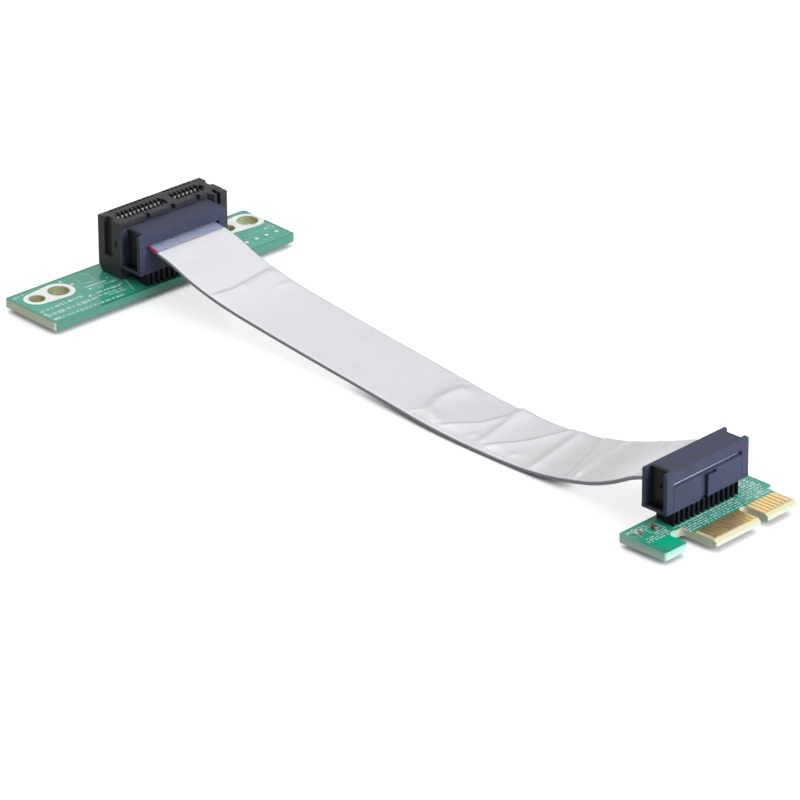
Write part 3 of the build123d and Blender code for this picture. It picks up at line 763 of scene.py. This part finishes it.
def dashRow(bm, draws, start, end, step):          # short bars in place of small print
    start, end = Vector(start), Vector(end)
    way, done, span = (end - start).normalized(), 0.0, (end - start).length
    while done < span:
        long = min(draws.uniform(*dashSet["long"]), span - done + dashSet["last"])
        high = draws.uniform(*dashSet["high"]) * step
        addBar(bm, start + way * done, start + way * (done + long), high, boardTop - sunk,
               boardTop + markSet["high"])
        done += long + draws.uniform(*dashSet["gap"])


def layOnBoard(name, bm, place, material, slot):
    bmesh.ops.transform(bm, matrix=boardMatrix(place), verts=bm.verts)
    finishPiece(name, bm, material, slot)


def socketBoardPrint():
    bm = bmesh.new()
    drawLines(bm, socketTracks, trackSet)
    layOnBoard("socketTracks", bm, socketPlace, covered, "circuit_board")
    bm = bmesh.new()
    drawVias(bm, socketVias)
    layOnBoard("socketVias", bm, socketPlace, tin, "tinned_copper")
    bm, draws = bmesh.new(), random.Random(11)
    drawLines(bm, socketMarks, markSet)
    addBar(bm, (14.1, 8.5), (18.9, 8.2), 0.55, boardTop - sunk, boardTop + markSet["high"])
    drawRing(bm, (16.6, 6.8), 0.55, 0.16)
    drawRing(bm, (57.9, 5.6), 0.72, 0.2)
    for start, end, step in socketRows:
        dashRow(bm, draws, start, end, step)
    layOnBoard("socketMarks", bm, socketPlace, ink, "circuit_board")


def edgeBoardPrint():
    back = boardMatrix(edgePlace).inverted()
    draws, c = random.Random(5), fingerTracks
    bm, vias = bmesh.new(), list(edgeVias)
    for number, place in enumerate(islandMiddles("gold_fingers_top")):
        x = (back @ place).x
        stop = c["stop"] + c["stagger"] * (number % 3)
        shift = draws.choice((-c["shift"], 0.0, c["shift"]))
        drawLines(bm, [[(x, c["start"]), (x, stop - c["bend"]), (x + shift, stop)]], trackSet)
        if number % 3 == 1:
            vias.append((x + shift, stop))
        else:
            drawLines(bm, [[(x + shift, stop), (x + shift, c["end"])]], trackSet)
    drawLines(bm, edgeTracks, trackSet)
    layOnBoard("edgeTracks", bm, edgePlace, covered, "circuit_board")
    bm = bmesh.new()
    drawVias(bm, vias)
    layOnBoard("edgeVias", bm, edgePlace, tin, "tinned_copper")
    bm = bmesh.new()
    drawLines(bm, edgeMarks, markSet)
    for low, high, step in edgeFields:
        y = low[1]
        while y <= high[1]:
            dashRow(bm, draws, (low[0] + draws.uniform(0, 1.2), y), (high[0] - draws.uniform(0, 1.2), y),
                    step)
            y += step
    layOnBoard("edgeMarks", bm, edgePlace, ink, "circuit_board")


socketBoardPrint()
edgeBoardPrint()
print("tracks, vias and marks laid on both boards")


# the cable's route: distance out of the left connector and height in mm, close to the solids' own

cableSet = {
    "route": [(-5.9, 9.6), (2.2, 9.6), (15.0, 4.75), (38.0, 2.3), (66.0, 0.15), (80.0, -0.48),
              (99.5, -0.45), (110.5, 1.55), (119.5, 4.4), (129.9, 9.6), (137.6, 9.6)],
    "tilts": {6: 1.5, 7: 4.5, 8: 7.5, 9: 3.0},     # degrees, where the band twists a little
    "bow": {4: -0.4, 5: -1.4, 6: -0.9, 7: -0.3},   # mm aside: minus is towards the left end
    "ways": 26,
    "pitch": 0.65,
    "thick": 0.5,
    "waist": 0.34,                       # half the thickness between two ways, as a share of the whole
    "arcs": 6,                           # points over each way
    "recess": 0.55,                      # cut end, behind the right connector's face
    "freeLength": 0.132,                 # metres between the two connectors' faces
}
strandSet = {"profile": [(0.12, 0.0), (0.11, 0.03), (0.06, 0.05), (0.0, 0.05)], "steps": 8}
foilSet = {
    "wide": 17.22, "thick": 0.82, "start": 2.2, "end": 0.15, "wall": 0.09, "mouth": 0.4,
    "steps": 36, "across": 42, "round": 8,
    "wrinkle": 0.03,                     # mm, the height of the waves all over the sleeve
    "waves": (0.16, 0.22), "fineAlong": (0.6, 0.3), "fineAside": (0.7, -0.2), "fineShare": 0.35,
    "edge": 2.2, "edgeShare": 0.12,      # all of it fades towards the folded edges
    "span": (14, 20),                    # mm before and past its start that a crease is felt
    "creases": [                         # (distance, across) in mm, then height, rise and fall in mm
        ([(17.2, -8.6), (17.7, -3.3), (17.0, 1.9), (15.9, 8.6)], 0.32, 0.35, 2.4),
        ([(18.8, -1.0), (17.9, 3.5), (17.0, 8.6)], 0.26, 0.6, 1.4),
        ([(21.1, 4.2), (21.7, 8.6)], 0.2, 0.35, 1.1),
        ([(77.0, -8.6), (72.4, -4.5), (70.8, -0.9), (70.9, 4.2)], 0.42, 1.4, 1.5),
        ([(77.8, -8.6), (82.7, -1.9), (84.2, 3.4), (83.8, 8.6)], 0.42, 0.35, 2.6),
        ([(88.2, -8.6), (84.9, 6.5)], 0.3, 1.0, 1.5),
        ([(89.1, -8.6), (93.6, -1.4), (95.7, 4.5), (97.0, 8.6)], 0.42, 0.35, 2.8),
        ([(102.0, -8.0), (99.1, 8.0)], 0.4, 1.2, 1.6),
        ([(110.9, -8.6), (107.6, 0.4), (104.5, 8.6)], 0.38, 0.35, 2.4),
        ([(112.3, -8.4), (110.8, 1.6), (111.9, 8.6)], 0.32, 1.0, 1.5),
    ],
    "nicks": {"seed": 4, "count": 16, "from": 66, "to": 124, "side": 8.6, "reach": (1.2, 3.4),
              "slant": 1.5, "height": 0.16, "share": (0.5, 1), "rise": 0.3, "fall": 0.8},
}


def middleOf(node):
    lo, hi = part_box(node)
    return (lo + hi) / 2


leftMiddle, rightMiddle = middleOf("left_connector_base"), middleOf("right_connector_base")
way = Vector((rightMiddle.x - leftMiddle.x, rightMiddle.y - leftMiddle.y, 0)).normalized()
across = Vector((-way.y, way.x, 0))      # towards the socket board's right end
halfDepth = leftMiddle.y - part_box("left_connector_base")[0].y
exitPoint = Vector((leftMiddle.x, leftMiddle.y, 0)) + way * halfDepth
rightFront = (boardMatrix(edgePlace).to_3x3() @ Vector((0, -1, 0))).normalized()


def onRoute(s, z):
    return exitPoint + way * s * mm + Vector((0, 0, z * mm))


def routeCurve(name, steps):             # one open spline that follows the listed points
    curve = bpy.data.curves.new(name, "CURVE")
    curve.dimensions = "3D"
    curve.twist_mode = "Z_UP"
    spline = curve.splines.new("NURBS")
    points = [onRoute(s, z) + across * cableSet["bow"].get(number, 0) * mm
              for number, (s, z) in enumerate(cableSet["route"])]
    spline.points.add(len(points) - 1)
    for number, place in enumerate(points):
        spline.points[number].co = (*place, 1)
        spline.points[number].tilt = math.radians(cableSet["tilts"].get(number, 0))
    spline.order_u = 3
    spline.use_endpoint_u = True
    spline.resolution_u = steps
    return bpy.data.objects.new(name, curve)


def routePoints():                       # the middle line between the two connectors' faces
    line = routeCurve("route", 12)
    scene.collection.objects.link(line)
    mesh = bpy.data.meshes.new_from_object(line)
    points = [v.co.copy() for v in mesh.vertices]
    bpy.data.objects.remove(line)
    last = (rightMiddle - exitPoint).dot(way) - halfDepth
    return [p for p in points if 0 <= (p - exitPoint).dot(way) <= last]


def sweepSection(name, section, steps):  # a closed section of (across, up) points along the route
    profile = bpy.data.curves.new(name + " section", "CURVE")
    profile.dimensions = "2D"
    spline = profile.splines.new("POLY")
    spline.points.add(len(section) - 1)
    for point, (x, y) in zip(spline.points, section):
        point.co = (x * mm, y * mm, 0, 1)
    spline.use_cyclic_u = True
    profileObject = bpy.data.objects.new(name + " section", profile)
    scene.collection.objects.link(profileObject)
    line = routeCurve(name + " line", steps)
    line.data.bevel_mode = "OBJECT"
    line.data.bevel_object = profileObject
    line.data.use_fill_caps = True
    scene.collection.objects.link(line)
    bpy.context.view_layer.update()
    mesh = bpy.data.meshes.new_from_object(line.evaluated_get(bpy.context.evaluated_depsgraph_get()))
    bpy.data.objects.remove(line)
    bpy.data.objects.remove(profileObject)
    bm = bmesh.new()
    bm.from_mesh(mesh)
    bmesh.ops.remove_doubles(bm, verts=bm.verts, dist=1e-7)
    return bm


def cutOff(bm, place, outwards):         # cuts a swept piece off at a plane and closes it
    cut = bmesh.ops.bisect_plane(bm, geom=bm.verts[:] + bm.edges[:] + bm.faces[:], plane_co=place,
                                 plane_no=outwards, clear_outer=True)
    rim = [e for e in cut["geom_cut"] if isinstance(e, bmesh.types.BMEdge)]
    closed = bmesh.ops.edgeloop_fill(bm, edges=rim)
    bmesh.ops.recalc_face_normals(bm, faces=bm.faces)
    return closed["faces"]


def bandSection(wide, thick, steps, columns):      # a flat band with round edges
    half, reach = thick / 2, wide / 2 - thick / 2
    points = [(reach - 2 * reach * i / columns, half) for i in range(columns + 1)]
    points += [(-reach - half * math.sin(math.pi * i / steps), half * math.cos(math.pi * i / steps))
               for i in range(1, steps)]
    points += [(-x, -y) for x, y in points[:columns + 1]]
    points += [(reach + half * math.sin(math.pi * i / steps), -half * math.cos(math.pi * i / steps))
               for i in range(1, steps)]
    return points


def ribbonSection(first, count):         # round insulation lobes side by side
    c = cableSet
    left = -c["ways"] * c["pitch"] / 2 + first * c["pitch"]
    half, waist, arcs = c["thick"] / 2, c["thick"] * c["waist"], c["arcs"]
    top = []
    for k in range(count):
        for i in range(arcs):
            lobe = math.sin(math.pi * i / arcs)
            top.append((left + (k + i / arcs) * c["pitch"], waist + (half - waist) * lobe))
    top.append((left + count * c["pitch"], waist))
    return top + [(x, -y) for x, y in reversed(top)]


def creaseHeight(s, a, creases, span):   # a short rise before each crease, a long fall after it
    height, here = 0.0, Vector((s, a, 0))
    for points, top, rise, fall in creases:
        if not -span[0] < s - points[0][0] < span[1]:
            continue
        line, nearest = [Vector((*p, 0)) for p in points], None
        for start, end in zip(line, line[1:]):
            share = geometry.intersect_point_line(here, start, end)[1]
            away = here - start.lerp(end, min(1, max(0, share)))
            if nearest is None or away.length < nearest.length:
                nearest = away
        far = nearest.length
        height += top * (math.exp(-(far / rise) ** 2) if nearest.x < 0 else math.exp(-far / fall))
    return height


def edgeNicks(c):                        # small puckers along the sleeve's folded edges
    draws, nicks = random.Random(c["seed"]), []
    for number in range(c["count"]):
        s, side = draws.uniform(c["from"], c["to"]), -1 if number % 3 else 1
        reach = draws.uniform(*c["reach"])
        inner = (s + draws.uniform(-c["slant"], c["slant"]), side * (c["side"] - reach))
        nicks.append(([(s, side * c["side"]), inner], c["height"] * draws.uniform(*c["share"]),
                      c["rise"], c["fall"]))
    return nicks


def foilWave(s, a, upper, c):            # slow waves, with finer ones slanting across them
    slow = noise.noise(Vector((s * c["waves"][0], a * c["waves"][1], 3.1 if upper else 8.7)))
    along, aside = c["fineAlong"], c["fineAside"]
    fine = noise.noise(Vector((s * along[0] + a * along[1], a * aside[0] + s * aside[1], 5.3)))
    return slow + c["fineShare"] * fine


def creaseFoil(bm, c):
    shadedEdge = bm.verts.layers.float.new("shadedEdge")   # 1 on the folded edges, where the material paints shade
    creases = c["creases"] + edgeNicks(c["nicks"])
    bm.normal_update()
    moves = []
    for v in bm.verts:
        v[shadedEdge] = abs(v.normal.dot(across))
        s, a = (v.co - exitPoint).dot(way) / mm, (v.co - exitPoint).dot(across) / mm
        edge = min(1, max(0, (c["wide"] / 2 - abs(a)) / c["edge"]))
        lift = c["wrinkle"] * foilWave(s, a, v.normal.z > 0, c) * edge
        if v.normal.z > 0.2:             # the upper face alone
            fade = c["edgeShare"] + (1 - c["edgeShare"]) * edge
            lift += creaseHeight(s, a, creases, c["span"]) * fade
        moves.append((v, v.normal * lift * mm))
    for v, move in moves:
        v.co += move


def makeCable():
    ways, pitch = cableSet["ways"], cableSet["pitch"]
    cutPlace = rightMiddle + rightFront * (halfDepth - cableSet["recess"] * mm)
    pieces = []
    for name, first, count, material, slot, node in (
            ("ribbonGrey", 0, ways - 1, ribbonGrey, "ribbon_grey", "ribbon"),
            ("ribbonRed", ways - 1, 1, ribbonRed, "ribbon_red", "red_conductor")):
        bm = sweepSection(name, ribbonSection(first, count), 14)
        cutOff(bm, cutPlace, rightFront)
        for face in bm.faces:
            face.smooth = len(face.verts) < 5
        pieces.append(finishPiece(name, bm, material, slot, node))

    section = bandSection(foilSet["wide"], foilSet["thick"], foilSet["round"], foilSet["across"])
    bm = sweepSection("foilSleeve", section, foilSet["steps"])
    mouths = cutOff(bm, exitPoint + way * foilSet["start"] * mm, -way)
    mouths += cutOff(bm, rightMiddle - rightFront * (halfDepth + foilSet["end"] * mm), rightFront)
    creaseFoil(bm, foilSet)
    for face in bm.faces:
        face.smooth = len(face.verts) < 5
    bmesh.ops.inset_individual(bm, faces=mouths, thickness=foilSet["wall"] * mm,
                               depth=-foilSet["mouth"] * mm)
    sleeve = finishPiece("foilSleeve", bm, foil, "foil", "foil_sleeve")

    bm = bmesh.new()
    strand = turnedShape(strandSet["profile"], strandSet["steps"])
    aim = rightFront.to_track_quat("Z", "Y").to_matrix().to_4x4() @ Matrix.Scale(mm, 4)
    up = Vector((0, 0, cableSet["route"][-1][1] * mm))
    places = []
    for k in range(ways):
        side = exitPoint + across * (k + 0.5 - ways / 2) * pitch * mm
        s = (cutPlace - side).dot(rightFront) / way.dot(rightFront)
        places.append(Matrix.Translation(side + way * s + up) @ aim)
    repeatShape(bm, strand, places)
    finishPiece("wireEnds", bm, tin, "tinned_copper")
    return sleeve, pieces


ribbonLook = {"grain": {"Scale": 1.2, "Smooth": 0.34, "Rough": 0.5, "Depth": 0.01 * mm},
              "cutEnd": linear(150, 154, 182), "cutTo": 6.19}   # mm behind the edge board's front
foilLook = {"grain": {"Scale": 0.3, "Smooth": 0.29, "Rough": 0.35, "Depth": 0.0},
            "body": (linear(198, 198, 200), linear(203, 203, 205)), "metallic": 0.75,
            "shadedEdge": linear(112, 112, 118), "shadedEdgeFrom": (0.2, 0.8), "shadedEdgeRough": 0.55}


def ribbonMaterial(name, colours, c):
    material, tree, shader = newMaterial(name)
    point = boardPoint(tree, edgePlace)
    grain = useGroup(tree, fineGrain, {"Vector": point, **c["grain"]})
    body = mixColours(tree, grain["Tone"], *colours)
    cut = maths(tree, "LESS_THAN", put(tree, "SeparateXYZ", {0: point}).outputs["Y"], c["cutTo"])
    feed(tree, shader, {"Base Color": mixColours(tree, cut, body, c["cutEnd"]),
                        "Roughness": grain["Roughness"], "Normal": grain["Normal"]})
    return material


def foilMaterial(c):
    material, tree, shader = newMaterial("shielding foil")
    grain = useGroup(tree, fineGrain, {"Vector": boardPoint(tree, partPlace), **c["grain"]})
    body = mixColours(tree, grain["Tone"], *c["body"])
    # painted shade: a dark grey line along the sleeve's folded edges
    shadedEdge = remap(tree, put(tree, "Attribute", attribute_name="shadedEdge").outputs["Fac"], *c["shadedEdgeFrom"])
    feed(tree, shader, {"Base Color": mixColours(tree, shadedEdge, body, c["shadedEdge"]),
                        "Metallic": c["metallic"],
                        "Roughness": mixValues(tree, shadedEdge, grain["Roughness"], c["shadedEdgeRough"])})
    return material


ribbonGrey = ribbonMaterial("ribbon grey", (linear(158, 161, 184), linear(172, 175, 198)), ribbonLook)
ribbonRed = ribbonMaterial("ribbon red", (linear(146, 40, 80), linear(170, 62, 102)), ribbonLook)
foil = foilMaterial(foilLook)

middleLine = routePoints()
print("free length of the route:", sum((b - a).length for a, b in zip(middleLine, middleLine[1:])))
sleeve, bands = makeCable()
print("cable made")

scene.view_settings.view_transform = "Standard"
